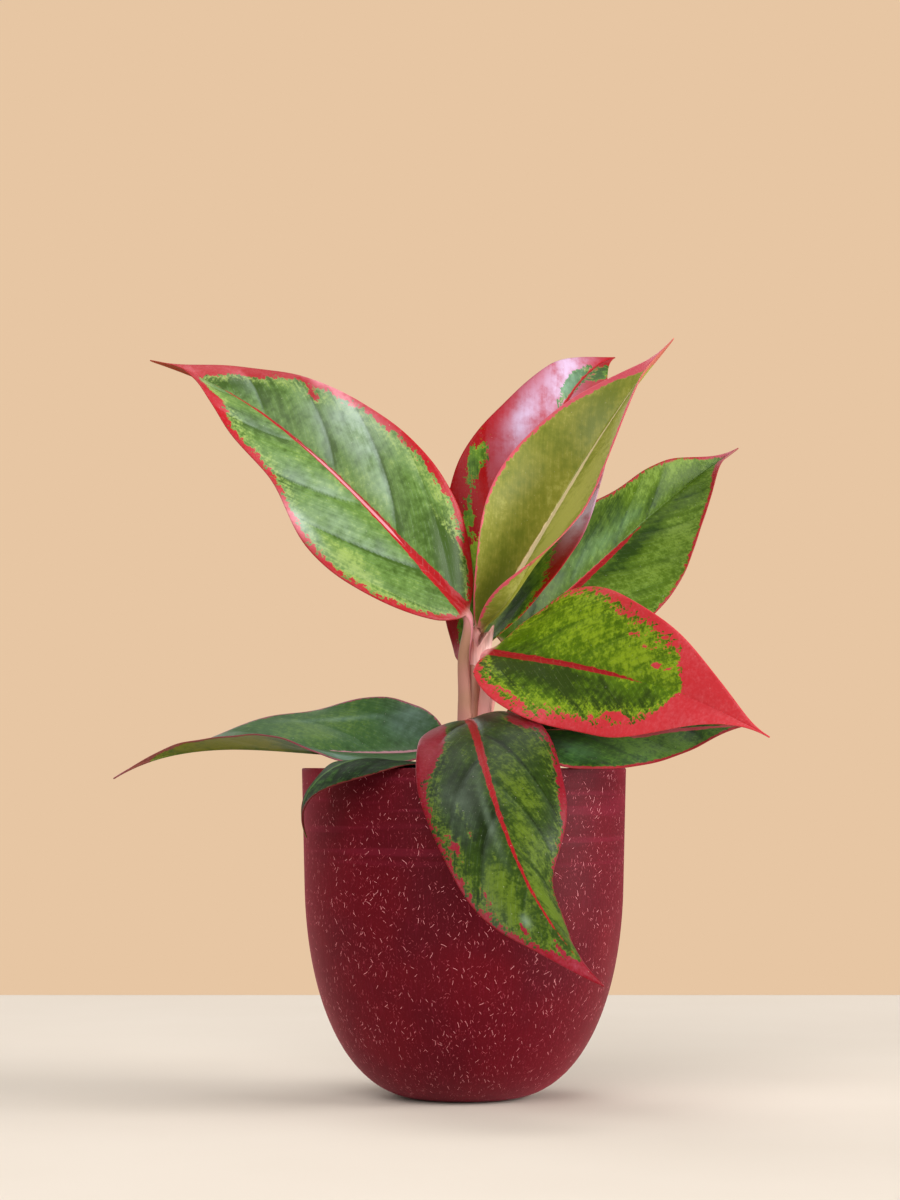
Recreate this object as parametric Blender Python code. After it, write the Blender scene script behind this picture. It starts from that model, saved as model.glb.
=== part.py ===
"""Potted Chinese evergreen: a round-bottomed planter filled with potting mix, and a young
plant with nine broad leaves on short stalks round one upright stem.

Units are metres, +Z is up, and the origin is the centre of the planter's flat foot. The side
the plant is seen from faces -Y. Lengths in the design tables are millimetres, angles degrees.
"""

import math
from typing import NamedTuple

import bmesh
import bpy
import numpy as np

MM = 0.001
GAP = 0.3  # clearance between neighbouring solids

# Planter
POT_HEIGHT = 121.0
RIM_RADIUS = 60.0
SHOULDER_RADIUS = 58.9  # where the straight upper wall turns into the round bottom
SHOULDER_HEIGHT = 77.0
FOOT_RADIUS = 16.0
WALL = 3.5
FLOOR = 5.0
RIM_EDGE = 0.6  # rounding of the rim's two edges
POT_SIDES = 48

# Potting mix and stem
SOIL_DROP = 12.0  # rim down to the surface of the mix
STEM_DEPTH = 42.0  # how far the stem reaches into the mix
STEM_RADIUS = 4.2
STEM_TOP_RADIUS = 3.4
STEM_FOOT_X = 3.0
STEM_RISE = ((22.0, 0.4), (53.0, 1.4))  # height above the mix, lean towards +X
STEM_SIDES = 24

# Leaves
BLADE_THICKNESS = 0.7
STALK_RADIUS = 2.0  # at the blade; the foot of the stalk is thicker
STALK_FOOT_RADIUS = 2.3
RIB_TIP_RADIUS = 0.5  # the midrib below the blade, at the tip
MARGIN_RIPPLE = 0.6  # height of the waves along the blade's margin
BLADE_STATIONS = 17
STALK_STATIONS = 5
ACROSS = np.array([-1.0, -0.72, -0.42, -0.13, 0.0, 0.13, 0.42, 0.72, 1.0])


class Leaf(NamedTuple):
    """One leaf: its blade starts at base and grows along a midrib whose heading (from +X
    towards +Y), pitch and roll are given at the blade's base, middle and tip."""

    name: str
    base: tuple
    length: float
    half_widths: tuple  # left and right of the midrib
    heading: tuple
    pitch: tuple
    roll: tuple
    fold_left: tuple  # how far each half is raised, at the base and at the tip
    fold_right: tuple
    arch: float  # how much each half turns down again towards its margin
    outline: tuple  # fullness of the base end and of the tip end
    lobe: float  # how far the margins reach back past the base
    pinch_left: tuple  # share of the width taken in, and where along the blade
    pinch_right: tuple
    stalk: tuple  # foot of the stalk beside the stem, and the point it bends towards
    bend: float  # straight run of the stalk into the blade


LEAVES = (
    Leaf("leaf_upper_left", base=(1, -7, 178), length=157, half_widths=(30.5, 30),
         heading=(198, 167, 173), pitch=(46, 42, 16), roll=(56, 67, 6),
         fold_left=(10, 38), fold_right=(10, 21), arch=16, outline=(0.6, 0.95), lobe=1.5,
         pinch_left=(0.25, 0.55), pinch_right=(0.05, 0.6),
         stalk=((-1.4, -5.3, 144), (-1.8, -5.9, 165)), bend=6),
    Leaf("leaf_back_tall", base=(1.5, 12, 160), length=161, half_widths=(28, 28.5),
         heading=(41, 50, 54), pitch=(54, 63, 14), roll=(20, -32, -25),
         fold_left=(9, 36), fold_right=(17, 21), arch=15, outline=(0.6, 1.05), lobe=3,
         pinch_left=(-0.1, 0.5), pinch_right=(-0.1, 0.65),
         stalk=((2.9, 7.1, 123), (2.6, 8.5, 147)), bend=6),
    Leaf("leaf_new_center", base=(5, 1, 172), length=138, half_widths=(28.5, 29.5),
         heading=(33, 17, -24), pitch=(48, 58, 46), roll=(-40, -48, -23),
         fold_left=(72, 8), fold_right=(72, 15), arch=1, outline=(0.65, 1.1), lobe=0,
         pinch_left=(0.1, 0.55), pinch_right=(0, 0.6),
         stalk=((4.4, 0.5, 162.7), (4.4, 0.6, 166)), bend=6),
    Leaf("leaf_back_right", base=(16.5, 24, 167), length=154, half_widths=(27.5, 30),
         heading=(45, 44, 26), pitch=(32, 34, 32), roll=(-17, -72, -11),
         fold_left=(30, 42), fold_right=(19, 34), arch=6, outline=(0.55, 1.05), lobe=4,
         pinch_left=(0.1, 0.55), pinch_right=(-0.05, 0.5),
         stalk=((8.9, 5.2, 127), (10.5, 9.5, 154)), bend=6),
    Leaf("leaf_front_right", base=(9.5, -9, 163.5), length=132, half_widths=(30, 25.5),
         heading=(-40, -44, -39), pitch=(-6, -13, -27), roll=(-29, -74, -46),
         fold_left=(12, 30), fold_right=(13, 20), arch=17, outline=(0.55, 1.35), lobe=4.5,
         pinch_left=(-0.1, 0.65), pinch_right=(-0.2, 0.6),
         stalk=((9.0, -5.0, 141), (9.0, -6.7, 153)), bend=6),
    Leaf("leaf_front_drooping", base=(1, -12, 137.5), length=151, half_widths=(28.5, 26),
         heading=(-79, -70, 6), pitch=(9.5, -49, -43), roll=(-15, 3, -32),
         fold_left=(24, -20), fold_right=(14, -22), arch=22, outline=(0.75, 0.95), lobe=2,
         pinch_left=(0.25, 0.7), pinch_right=(-0.1, 0.7),
         stalk=((2.6, -7.3, 118), (2.2, -8, 134)), bend=4),
    Leaf("leaf_lower_left", base=(-6, -2, 129), length=131, half_widths=(29.5, 27),
         heading=(157, 185, 218), pitch=(-13, 3, -31), roll=(38, 20, -27),
         fold_left=(32, 36), fold_right=(29, 13), arch=13, outline=(0.55, 1.35), lobe=0,
         pinch_left=(-0.1, 0.55), pinch_right=(0, 0.6),
         stalk=((-4.3, -0.8, 114), (-4.6, -1, 128)), bend=2),
    Leaf("leaf_rim_left", base=(-5, -9.5, 120.5), length=87, half_widths=(21.5, 13.5),
         heading=(218, 221, 158), pitch=(-7, -3, -119), roll=(-13, -5, 4),
         fold_left=(-3, -18), fold_right=(1, -1), arch=3, outline=(0.6, 1.25), lobe=4,
         pinch_left=(-0.2, 0.6), pinch_right=(0.05, 0.65),
         stalk=((-1.7, -5.9, 111.5), (-2.8, -6.8, 119)), bend=3),
    Leaf("leaf_lower_right", base=(12.5, -6, 132.5), length=100, half_widths=(27, 32),
         heading=(-30, -26, -28), pitch=(9, 1, 0), roll=(-34, -54, -49),
         fold_left=(25, 25), fold_right=(43, 12), arch=10, outline=(0.6, 1.1), lobe=3.5,
         pinch_left=(0, 0.6), pinch_right=(-0.05, 0.6),
         stalk=((9.9, -2.5, 114), (10.4, -3, 129)), bend=2.5),
)


def clear_scene():
    """Remove whatever the open scene holds."""
    for thing in list(bpy.data.objects):
        bpy.data.objects.remove(thing, do_unlink=True)


def make_material(name, colour, roughness, metallic=0.0):
    """A plain Principled material with the piece's own colour."""
    material = bpy.data.materials.new(name)
    material.use_nodes = True
    shader = material.node_tree.nodes["Principled BSDF"]
    shader.inputs["Base Color"].default_value = (*colour, 1.0)
    shader.inputs["Roughness"].default_value = roughness
    shader.inputs["Metallic"].default_value = metallic
    material.diffuse_color = (*colour, 1.0)
    return material


def add_piece(name, mesh, material, crease=40.0):
    """Put a finished mesh in the scene as a smooth-shaded object."""
    mesh.name = name
    mesh.shade_smooth()
    mesh.set_sharp_from_angle(angle=math.radians(crease))
    mesh.materials.append(material)
    piece = bpy.data.objects.new(name, mesh)
    bpy.context.scene.collection.objects.link(piece)
    return piece


def spun_mesh(profile, sides):
    """Turn a closed (radius, height) outline in millimetres, which starts and ends on the
    axis, into a solid of revolution round Z."""
    bm = bmesh.new()
    points = [bm.verts.new((r * MM, 0.0, z * MM)) for r, z in profile]
    edges = [bm.edges.new(pair) for pair in zip(points, points[1:])]
    bmesh.ops.spin(bm, geom=points + edges, cent=(0, 0, 0), axis=(0, 0, 1),
                   angle=2 * math.pi, steps=sides, use_merge=True)
    bmesh.ops.remove_doubles(bm, verts=bm.verts, dist=1e-6)
    bmesh.ops.triangulate(bm, faces=bm.faces)
    bmesh.ops.recalc_face_normals(bm, faces=bm.faces)
    mesh = bpy.data.meshes.new("spun")
    bm.to_mesh(mesh)
    bm.free()
    return mesh


def outer_wall(inset=0.0, steps=11):
    """The planter's outline from foot to rim: a round bottom drawn as one smooth curve, then
    a nearly straight wall. An inset moves it inwards, square to the curve."""
    flare = (RIM_RADIUS - SHOULDER_RADIUS) / (POT_HEIGHT - SHOULDER_HEIGHT)
    pull = 45.0  # how far the straight wall's direction is carried down into the bottom
    handles = np.array([
        (FOOT_RADIUS, 0.0), (FOOT_RADIUS + 25.5, 0.0),
        (SHOULDER_RADIUS - flare * pull, SHOULDER_HEIGHT - pull), (SHOULDER_RADIUS, SHOULDER_HEIGHT)])
    t = np.linspace(0.0, 1.0, steps + 1)[:, None]
    weights = np.hstack([(1 - t) ** 3, 3 * t * (1 - t) ** 2, 3 * t ** 2 * (1 - t), t ** 3])
    curve = weights @ handles
    slope = np.gradient(curve, axis=0)
    slope[0], slope[-1] = (1.0, 0.0), (flare, 1.0)
    slope /= np.linalg.norm(slope, axis=1, keepdims=True)
    curve += inset * np.column_stack([-slope[:, 1], slope[:, 0]])
    rim = (RIM_RADIUS - inset, POT_HEIGHT)
    return [tuple(point) for point in curve] + [rim]


def lining(inset, floor, top):
    """The wall moved inwards, from a flat floor up to a level top."""
    wall = np.array(outer_wall(inset))
    edges = np.interp([floor, top], wall[:, 1], wall[:, 0])
    between = [tuple(point) for point in wall if floor + 0.5 < point[1] < top - 0.5]
    return [(edges[0], floor)] + between + [(edges[1], top)]


def pot_profile():
    """Outline of the shell: up the outside, over the flat rim, down the inside."""
    outside = outer_wall()[:-1]
    inside = lining(WALL, FLOOR, POT_HEIGHT - RIM_EDGE)
    rim = [(RIM_RADIUS, POT_HEIGHT - RIM_EDGE), (RIM_RADIUS - RIM_EDGE, POT_HEIGHT),
           (inside[-1][0] + RIM_EDGE, POT_HEIGHT)]
    return [(0.0, 0.0)] + outside + rim + inside[::-1] + [(0.0, FLOOR)]


def make_pot(material):
    """The planter's shell."""
    return add_piece("pot", spun_mesh(pot_profile(), POT_SIDES), material)


def soil_level():
    """Height of the potting mix's surface."""
    return POT_HEIGHT - SOIL_DROP


def make_soil(material):
    """Potting mix that fills the shell up to its level, with a plain hole for the stem."""
    top = soil_level()
    side = lining(WALL + GAP, FLOOR + GAP, top)
    soil = add_piece("soil", spun_mesh([(0.0, FLOOR + GAP)] + side + [(0.0, top)], POT_SIDES), material)

    bpy.ops.mesh.primitive_cylinder_add(
        vertices=STEM_SIDES, radius=(STEM_RADIUS + GAP) * MM, depth=2 * (STEM_DEPTH + GAP) * MM,
        location=(STEM_FOOT_X * MM, 0.0, top * MM))
    hole = bpy.context.object
    hole.name = "stem_hole"
    hole.hide_render = True
    hole.display_type = "WIRE"
    cut = soil.modifiers.new("stem hole", "BOOLEAN")
    cut.operation = "DIFFERENCE"
    cut.solver = "EXACT"
    cut.object = hole
    return soil


def loft_mesh(rings):
    """Skin a stack of closed rings, each laid out as an upper row of points and then the lower
    row backwards. Both rows are split along the same diagonals, and flat caps close the ends."""
    count, around = rings.shape[:2]
    half = around // 2
    faces = []
    for i in range(count - 1):
        a, b = i * around, (i + 1) * around
        for j in range(around):
            k = (j + 1) % around
            if j < half - 1 or j == around - 1:
                faces += [(a + j, a + k, b + k), (a + j, b + k, b + j)]
            else:
                faces += [(a + j, a + k, b + j), (a + k, b + k, b + j)]
    for first, facing in ((0, -1), ((count - 1) * around, 1)):
        for j in range(half - 1):
            a, b = first + j, first + j + 1
            c, d = first + around - 1 - j, first + around - 2 - j
            faces += [(a, b, d)[::facing], (a, d, c)[::facing]]
    mesh = bpy.data.meshes.new("loft")
    mesh.from_pydata((rings.reshape(-1, 3) * MM).tolist(), [], faces)
    bm = bmesh.new()
    bm.from_mesh(mesh)
    bmesh.ops.recalc_face_normals(bm, faces=bm.faces)
    bm.to_mesh(mesh)
    bm.free()
    return mesh


def make_stem(material):
    """The upright stem: round, leaning slightly, a little thinner at its top."""
    level = soil_level()
    stations = [(level - STEM_DEPTH, 0.0), (level, 0.0)] + [(level + up, lean) for up, lean in STEM_RISE]
    radii = (STEM_RADIUS, STEM_RADIUS, STEM_RADIUS, STEM_TOP_RADIUS)
    turn = np.arange(STEM_SIDES) * 2 * math.pi / STEM_SIDES
    rings = [np.column_stack([STEM_FOOT_X + lean + radius * np.cos(turn), radius * np.sin(turn),
                              np.full(STEM_SIDES, z)])
             for (z, lean), radius in zip(stations, radii)]
    return add_piece("stem", loft_mesh(np.array(rings)), material)


def along(values, t):
    """Smooth run through the values given for the base, middle and tip."""
    start, middle, end = values
    return start * (1 - t) * (1 - 2 * t) + 4 * middle * t * (1 - t) + end * t * (2 * t - 1)


def blade_frames(leaf, t):
    """Midrib points, and the directions along, across (to the right) and out of the blade."""
    def forward(u):
        heading, pitch = np.radians(along(leaf.heading, u)), np.radians(along(leaf.pitch, u))
        return np.column_stack([np.cos(pitch) * np.cos(heading), np.cos(pitch) * np.sin(heading),
                                np.sin(pitch)])

    fine = np.linspace(0.0, 1.0, 201)
    steps = forward(fine)
    path = np.vstack([np.zeros(3), np.cumsum((steps[1:] + steps[:-1]) / 2, axis=0)])
    path *= leaf.length / (len(fine) - 1)
    midrib = np.column_stack([np.interp(t, fine, path[:, k]) for k in range(3)]) + np.array(leaf.base)
    heading, roll = np.radians(along(leaf.heading, t)), np.radians(along(leaf.roll, t))[:, None]
    ahead = forward(t)
    level = np.column_stack([np.sin(heading), -np.cos(heading), np.zeros_like(t)])
    above = np.cross(level, ahead)
    across = np.cos(roll) * level + np.sin(roll) * above
    out = np.cos(roll) * above - np.sin(roll) * level
    return midrib, ahead, across, out


def half_width(leaf, t, side):
    """Distance from midrib to margin on one side (-1 left, +1 right)."""
    rise, taper = leaf.outline
    widest = rise / (rise + taper)
    shape = t ** rise * (1 - t) ** taper / (widest ** rise * (1 - widest) ** taper)
    pinch, where = leaf.pinch_left if side < 0 else leaf.pinch_right
    full = leaf.half_widths[0 if side < 0 else 1]
    return full * shape * (1 - pinch * np.exp(-((t - where) / 0.13) ** 2))


def blade_surface(leaf, t):
    """Middle surface of the blade: each half rises from the midrib at its fold angle and
    arches over towards the margin, which ripples a little and reaches back at the base."""
    midrib, ahead, across, out = blade_frames(leaf, t)
    surface = np.repeat(midrib[:, None, :], len(ACROSS), axis=1)
    for column, s in enumerate(ACROSS):
        if s == 0:
            continue
        side = -1 if s < 0 else 1
        fold = leaf.fold_left if side < 0 else leaf.fold_right
        width = np.hypot(half_width(leaf, t, side), STALK_RADIUS)
        reach = abs(s)
        steps = (np.arange(12) + 0.5) / 12 * reach
        angle = np.radians(fold[0] + (fold[1] - fold[0]) * t)[:, None] - math.radians(leaf.arch) * steps
        sideways = np.cos(angle).mean(axis=1) * reach * width
        upwards = np.sin(angle).mean(axis=1) * reach * width
        upwards += MARGIN_RIPPLE * reach ** 3 * np.sin(2 * math.pi * (3.2 * t + 0.4 * side)) \
            * np.minimum(1, 8 * t) * np.minimum(1, 5 * (1 - t))
        back = leaf.lobe * reach ** 2 * (1 - t) ** 4 * np.minimum(1, 20 * t)
        surface[:, column] += side * across * sideways[:, None] + out * upwards[:, None] \
            - ahead * back[:, None]
    return surface, ahead[0], across[0], out


def blade_rings(leaf):
    """The blade with its thickness, and with the midrib standing out below."""
    t = np.concatenate([[0.0, 0.015, 0.04, 0.08], np.linspace(0.13, 0.95, BLADE_STATIONS - 5), [0.985]])
    surface, ahead, across, out = blade_surface(leaf, t)
    normals = np.cross(np.gradient(surface, axis=1), np.gradient(surface, axis=0))
    normals *= np.sign((normals * out[:, None]).sum(axis=2, keepdims=True))
    normals[0] = out[0]
    normals /= np.linalg.norm(normals, axis=2, keepdims=True)
    rib = STALK_RADIUS + (RIB_TIP_RADIUS - STALK_RADIUS) * np.minimum(1, 1.6 * t) ** 0.7
    width = np.hypot((half_width(leaf, t, -1) + half_width(leaf, t, 1)) / 2, STALK_RADIUS)
    sideways = np.abs(ACROSS)[None, :] * width[:, None] / rib[:, None]
    bulge = np.sqrt(np.maximum(0, 1 - sideways ** 2)) * rib[:, None]
    above = BLADE_THICKNESS / 2 + bulge * np.maximum(0, 1 - 8 * t)[:, None]
    below = BLADE_THICKNESS / 2 + bulge
    top = surface + normals * above[..., None]
    bottom = surface - normals * below[..., None]
    return np.concatenate([top, bottom[:, ::-1]], axis=1), surface[0, len(ACROSS) // 2], ahead, across


def stalk_rings(leaf, blade_base, ahead, across):
    """Round rings from the stalk's foot beside the stem up to the blade, along one curve."""
    foot, bend = (np.array(point, dtype=float) for point in leaf.stalk)
    last = blade_base - ahead * leaf.bend
    rings = []
    for t in np.linspace(1.0, 0.0, STALK_STATIONS + 1)[1:]:
        centre = (1 - t) ** 3 * foot + 3 * t * (1 - t) ** 2 * bend \
            + 3 * t ** 2 * (1 - t) * last + t ** 3 * blade_base
        course = (1 - t) ** 2 * (bend - foot) + 2 * t * (1 - t) * (last - bend) + t ** 2 * (blade_base - last)
        course /= np.linalg.norm(course)
        across = across - course * (across @ course)
        across /= np.linalg.norm(across)
        out = np.cross(across, course)
        radius = STALK_FOOT_RADIUS + (STALK_RADIUS - STALK_FOOT_RADIUS) * t
        turn = ACROSS * math.pi / 2
        sideways = (radius * np.sin(turn))[:, None] * across
        rise = (BLADE_THICKNESS / 2 + radius * np.cos(turn))[:, None] * out
        rings.append(np.concatenate([centre + sideways + rise, (centre + sideways - rise)[::-1]]))
    return np.array(rings[::-1])


def make_leaf(leaf, material):
    """Blade and stalk as one solid."""
    blade, blade_base, ahead, across = blade_rings(leaf)
    stalk = stalk_rings(leaf, blade_base, ahead, across)
    return add_piece(leaf.name, loft_mesh(np.concatenate([stalk, blade])), material, crease=60.0)


def main():
    clear_scene()
    make_pot(make_material("burgundy_pot", (0.155, 0.012, 0.018), 0.6))
    make_soil(make_material("potting_mix", (0.045, 0.03, 0.02), 0.95))
    make_stem(make_material("pink_stem", (0.62, 0.32, 0.26), 0.45))
    for leaf in LEAVES:
        fresh = leaf.name == "leaf_new_center"
        colour = (0.22, 0.26, 0.05) if fresh else (0.07, 0.16, 0.03)
        make_leaf(leaf, make_material(leaf.name, colour, 0.4))


main()
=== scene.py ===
import math
from functools import partial
from typing import NamedTuple

import bpy
import numpy as np
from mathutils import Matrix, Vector


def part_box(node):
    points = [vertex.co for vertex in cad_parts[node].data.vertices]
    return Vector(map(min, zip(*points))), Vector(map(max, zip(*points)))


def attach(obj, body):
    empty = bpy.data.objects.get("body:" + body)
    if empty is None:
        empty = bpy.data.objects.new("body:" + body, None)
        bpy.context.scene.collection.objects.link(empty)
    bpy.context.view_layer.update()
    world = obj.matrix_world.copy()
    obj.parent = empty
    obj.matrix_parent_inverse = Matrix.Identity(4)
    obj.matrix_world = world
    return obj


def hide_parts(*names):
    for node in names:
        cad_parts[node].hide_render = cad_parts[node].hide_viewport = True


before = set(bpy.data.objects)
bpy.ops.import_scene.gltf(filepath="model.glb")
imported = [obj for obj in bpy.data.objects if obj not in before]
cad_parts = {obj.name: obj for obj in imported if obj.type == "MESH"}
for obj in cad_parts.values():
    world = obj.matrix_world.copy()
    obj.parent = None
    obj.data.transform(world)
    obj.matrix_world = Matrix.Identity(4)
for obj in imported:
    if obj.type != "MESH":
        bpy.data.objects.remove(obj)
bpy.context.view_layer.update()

MM = 0.001

# The planter, from its solid and the sizes that shape it
RIM_RADIUS, _, POT_HEIGHT = np.array(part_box("pot")[1]) / MM
SHOULDER = (58.9, 77.0)  # radius and height where the straight wall turns into the round bottom
FOOT_RADIUS = 16.0
FOOT_PULL, SHOULDER_PULL = 25.5, 45.0  # lengths of the handles of the round bottom's curve
WALL = 3.5
FLOOR = 5.0
RIM_EDGE = 0.6
NEAR_AXIS = 0.02  # radius at which a turned outline starts and ends

SOIL_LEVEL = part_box("soil")[1][2] / MM
STEM_FOOT_X = 3.0
STEM_LOW, STEM_HIGH = (corner[2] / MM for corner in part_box("stem"))
STEM_HEIGHTS = (SOIL_LEVEL, SOIL_LEVEL + 22, STEM_HIGH)  # at which its lean and radius are given

# The leaves. A reach is a share of the blade's length over which something fades
BLADE_THICKNESS = 0.6
STALK_RADIUS = 2.0
STALK_FOOT_RADIUS = 2.4
RIB_TIP_RADIUS = 0.35
PINCH_REACH = 0.13
ROLL_REACH = 0.18
RIPPLE, RIPPLES = 0.6, 3.2  # height and number of the ripples along a margin
WAVES = (45, 26, 15)  # of a blade, from crest to crest
VEIN_SLANT, VEIN_BEND = 1.2, 0.03
CREASE = 1.4  # how far the crease over a side vein reaches
OFF_BLADE = -20  # on the stalk, where the blade's colours have no part
ALONG, STALK_ALONG, SHEATH_ALONG = 180, 30, 26  # stations along a blade, its stalk and its sheath
EVEN = np.linspace(-1, 1, 73)
ACROSS = 0.62 * EVEN + 0.38 * np.sin(EVEN * math.pi / 2)  # places across, closer at the margins
MIDRIB = len(ACROSS) // 2

# The camera: lens and film in millimetres, place in metres, degrees upwards
LENS, FILM = 90.0, 36.0
CAMERA_X, CAMERA_Y, TILT = -0.00516, -1.114, 3.205

# Lamps: name, place and aim in metres, side of the square, watts
LAMPS = (
    ("key", (-0.9, -2.7, 1.75), (0, 0, 0.15), 2.8, 92),
    ("side", (2.3, -0.65, 0.65), (0, 0, 0.1), 1.7, 80),
    ("back", (0.2, 0.4, 2.8), (0, 0.05, 0.15), 1.6, 20),
    ("fill", (-1.4, 2.2, 1.5), (0, 0, 0.15), 2.2, 26),
)
SURROUND = 0.22  # strength of the even light from all round


class Leaf(NamedTuple):
    """One leaf's form, as in the solid it stands for, in millimetres and degrees. Heading, pitch
    and roll hold at the blade's base, middle and tip, and half widths, folds and pinches for its
    left and its right half."""

    name: str
    base: tuple
    length: float
    half_widths: tuple
    heading: tuple
    pitch: tuple
    roll: tuple
    fold: tuple  # how steeply each half rises from the midrib, at the base and at the tip
    arch: float  # and how far it bends back on its way to the margin
    outline: tuple  # powers of the way from the base and from the tip
    lobe: float  # how far the margin reaches back beside the stalk
    pinch: tuple  # by what share each half is narrower, and where
    stalk: tuple  # its foot, and the point towards which it starts
    bend: float  # length of its run into the blade
    tail: float  # how much the tip is drawn out into a slender tail
    tail_reach: float = 0.11
    roll_up: float = 0.0  # how far the right half still rolls over the midrib at its base


LEAVES = (
    Leaf("leaf_upper_left", base=(1, -7, 178), length=157, half_widths=(30.5, 30),
         heading=(198, 167, 173), pitch=(46, 42, 16), roll=(56, 67, 6),
         fold=((10, 38), (10, 21)), arch=16, outline=(0.6, 0.95), lobe=1.5,
         pinch=((0.25, 0.55), (0.05, 0.6)), stalk=((-1.4, -5.3, 144), (-1.8, -5.9, 165)), bend=6, tail=0.55),
    Leaf("leaf_back_tall", base=(1.5, 12, 160), length=161, half_widths=(28, 28.5),
         heading=(41, 50, 54), pitch=(54, 63, 14), roll=(20, -32, -25),
         fold=((9, 36), (17, 21)), arch=15, outline=(0.6, 1.05), lobe=3,
         pinch=((-0.1, 0.5), (-0.1, 0.65)), stalk=((2.9, 7.1, 123), (2.6, 8.5, 147)), bend=6, tail=0.3),
    Leaf("leaf_new_center", base=(5, 1, 172), length=138, half_widths=(28.5, 29.5),
         heading=(33, 17, -24), pitch=(48, 58, 46), roll=(-40, -48, -23),
         fold=((71, 8), (72, 15)), arch=1, outline=(0.65, 1.1), lobe=0,
         pinch=((0.1, 0.55), (0, 0.6)),
         stalk=((4.4, 0.5, 162.7), (4.4, 0.6, 166)), bend=6, tail=0.35, roll_up=135),
    Leaf("leaf_back_right", base=(16.5, 24, 167), length=154, half_widths=(27.5, 30),
         heading=(45, 44, 26), pitch=(32, 34, 32), roll=(-17, -72, -11),
         fold=((30, 42), (19, 34)), arch=6, outline=(0.55, 1.05), lobe=4,
         pinch=((0.1, 0.55), (-0.05, 0.5)), stalk=((8.9, 5.2, 127), (10.5, 9.5, 154)), bend=6, tail=0.5),
    Leaf("leaf_front_right", base=(9.5, -9, 163.5), length=132, half_widths=(30, 25.5),
         heading=(-40, -44, -39), pitch=(-6, -13, -27), roll=(-29, -74, -46),
         fold=((12, 30), (13, 20)), arch=17, outline=(0.55, 1.35), lobe=4.5,
         pinch=((-0.1, 0.65), (-0.2, 0.6)), stalk=((9, -5, 141), (9, -6.7, 153)), bend=6, tail=0.5),
    Leaf("leaf_front_drooping", base=(1, -12, 137.5), length=151, half_widths=(28.5, 26),
         heading=(-79, -70, 6), pitch=(9.5, -49, -43), roll=(-15, 3, -32),
         fold=((24, -20), (14, -22)), arch=22, outline=(0.75, 0.95), lobe=2,
         pinch=((0.25, 0.7), (-0.1, 0.7)), stalk=((2.6, -7.3, 118), (2.2, -8, 134)), bend=4, tail=0.35),
    Leaf("leaf_lower_left", base=(-6, -2, 129), length=131, half_widths=(29.5, 27),
         heading=(157, 185, 218), pitch=(-13, 3, -31), roll=(38, 20, -27),
         fold=((32, 36), (29, 13)), arch=13, outline=(0.55, 1.35), lobe=0,
         pinch=((-0.1, 0.55), (0, 0.6)),
         stalk=((-4.3, -0.8, 114), (-4.6, -1, 128)), bend=2, tail=0.9, tail_reach=0.24),
    Leaf("leaf_rim_left", base=(-5, -9.5, 120.5), length=87, half_widths=(21.5, 13.5),
         heading=(218, 221, 158), pitch=(-7, -3, -119), roll=(-13, -5, 4),
         fold=((-3, -18), (1, -1)), arch=3, outline=(0.6, 1.25), lobe=4,
         pinch=((-0.2, 0.6), (0.05, 0.65)), stalk=((-1.7, -5.9, 111.5), (-2.8, -6.8, 119)), bend=3, tail=0.7),
    Leaf("leaf_lower_right", base=(12.5, -6, 132.5), length=100, half_widths=(27, 32),
         heading=(-30, -26, -28), pitch=(9, 1, 0), roll=(-34, -54, -49),
         fold=((25, 25), (43, 12)), arch=10, outline=(0.6, 1.1), lobe=3.5,
         pinch=((0, 0.6), (-0.05, 0.6)), stalk=((9.9, -2.5, 114), (10.4, -3, 129)), bend=2.5, tail=0.5),
)


class Look(NamedTuple):
    """One leaf's colouring and relief. A profile is a tuple of (way along, millimetres) pairs:
    the width of the red margin on each side, and the half width, the sideways shift and the pale
    core of the coloured midrib. A zone is a soft oval patch: (way along, millimetres across,
    half length, half width, strength)."""

    slot: str
    colours: str  # dark, middle and bright green, painted sheen (also the pale fine veins), lower face, red, pink (also painted pink sheen on the red), midrib, stalk
    margin_left: tuple
    rib: tuple
    margin_right: tuple = ()  # as on the left where nothing is given
    rib_shift: tuple = ((0, 0), (1, 0))
    core: tuple = ((0, -1), (1, -1))  # half width of the pale line along the midrib
    ragged: float = 1.5  # millimetres by which the red's edge wanders
    mottle: float = 0.5  # how thickly bright specks lie along the red
    dusty: float = 0.12  # how strongly pink specks lie on the red
    slope_sheen: float = 0.4  # strength of the silvery sheen painted on the quilting where it slopes
    quilt: float = 24.0  # millimetres between side veins, along the midrib
    vein_start: float = 0.0  # where the first of them leaves it, as a share of that
    quilt_depth: float = 0.8
    red_zones: tuple = ()
    tone_zones: tuple = ()
    # patches of painted sheen: highlight and reflection painted as pale or pink colour
    painted_sheen_zones: tuple = ()
    gloss: float = 0.38
    shine: float = 0.2


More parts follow.
